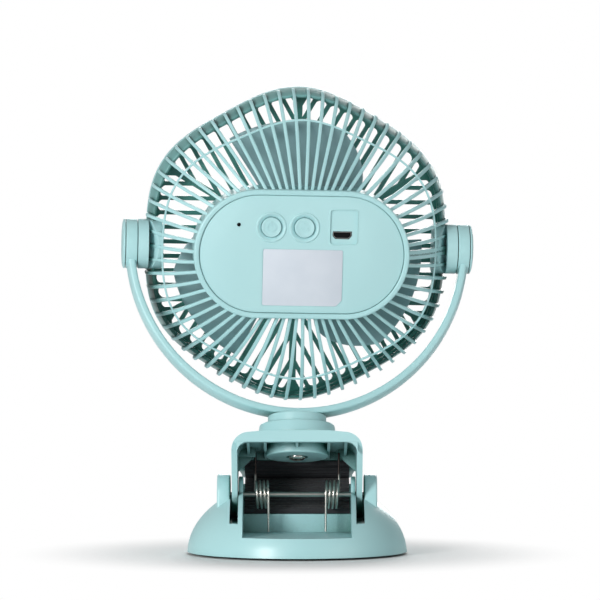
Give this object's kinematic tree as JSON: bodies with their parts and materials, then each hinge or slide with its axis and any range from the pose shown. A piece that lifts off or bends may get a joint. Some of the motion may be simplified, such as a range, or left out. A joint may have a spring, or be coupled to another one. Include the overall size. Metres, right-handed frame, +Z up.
{
  "type": "clip fan",
  "caption": "Rechargeable fan with a rounded-hexagon cage, tilting in a half-ring yoke that swivels on a spring clip with a wide round base.",
  "frame": {"origin": "centre of the base pad's underside, on the surface that the fan stands on", "axes": "+Z up, -Y towards the side with the buttons, +Y the way the fan blows, X along the clip pin and the head's pivots"},
  "size_m": [0.1586, 0.098, 0.2094],
  "materials": {
    "mint_plastic": "satin moulded ABS, pale mint green",
    "panel_plastic": "fine-grained moulded ABS, pale mint green",
    "blade_plastic": "smooth moulded PP, greyish mint",
    "black_rubber": "matt black silicone rubber",
    "bright_steel": "nickel-plated steel",
    "motor_steel": "drawn steel can",
    "label_film": "blank silver-white sticker",
    "clear_plastic": "smoked clear light guide",
    "black_plastic": "black nylon",
    "green_board": "green solder mask",
    "cell_foil": "silver pouch film"
  },
  "bodies": {
    "base": {"base_shell": "mint_plastic", "base_cover": "mint_plastic", "base_pad": "black_rubber", "lower_jaw_pad": "black_rubber", "clip_pin": "bright_steel", "left_spring": "bright_steel", "right_spring": "bright_steel"},
    "upper_jaw": {"upper_jaw": "mint_plastic", "upper_jaw_pad": "black_rubber"},
    "yoke": {"yoke": "mint_plastic", "swivel_screw": "bright_steel", "swivel_washer": "bright_steel", "left_pivot_cap": "mint_plastic", "right_pivot_cap": "mint_plastic", "left_pivot_washer": "bright_steel", "right_pivot_washer": "bright_steel"},
    "head": {"rear_grille": "mint_plastic", "rear_panel": "panel_plastic", "label": "label_film", "charge_light": "clear_plastic", "charging_port": "bright_steel", "power_switch": "black_plastic", "mode_switch": "black_plastic", "circuit_board": "green_board", "battery_cell": "cell_foil", "motor": "motor_steel", "left_motor_screw": "bright_steel", "right_motor_screw": "bright_steel", "left_pivot_screw": "bright_steel", "right_pivot_screw": "bright_steel", "front_grille": "mint_plastic"},
    "power_button": {"power_button": "panel_plastic"},
    "mode_button": {"mode_button": "panel_plastic"},
    "impeller": {"impeller": "blade_plastic", "motor_shaft": "bright_steel"}
  },
  "joints": [
    {"name": "clip_hinge", "type": "hinge", "parent": "base", "child": "upper_jaw", "pos_m": [0, -0.004, 0.0265], "axis": [1, 0, 0], "range_deg": [0, 30], "stiffness_Nm_per_rad": 0.5, "springref_deg": -57.3, "deforming": ["left_spring", "right_spring"]},
    {"name": "swivel", "type": "hinge", "parent": "upper_jaw", "child": "yoke", "pos_m": [0, 0.01644, 0.1372], "axis": [0, 0.2164, 0.9763], "continuous": true},
    {"name": "head_tilt", "type": "hinge", "parent": "yoke", "child": "head", "pos_m": [0, 0.01644, 0.1372], "axis": [0.9972, 0.0732, -0.0162], "continuous": true},
    {"name": "fan_spin", "type": "hinge", "parent": "head", "child": "impeller", "pos_m": [0, 0.01644, 0.1372], "axis": [-0.0703, 0.9882, 0.1363], "continuous": true},
    {"name": "power_button_press", "type": "slide", "parent": "head", "child": "power_button", "axis": [-0.0703, 0.9882, 0.1363], "range_m": [0, 0.0006], "stiffness_N_per_m": 400, "springref_m": -0.0005},
    {"name": "mode_button_press", "type": "slide", "parent": "head", "child": "mode_button", "axis": [-0.0703, 0.9882, 0.1363], "range_m": [0, 0.0006], "stiffness_N_per_m": 400, "springref_m": -0.0005}
  ]
}
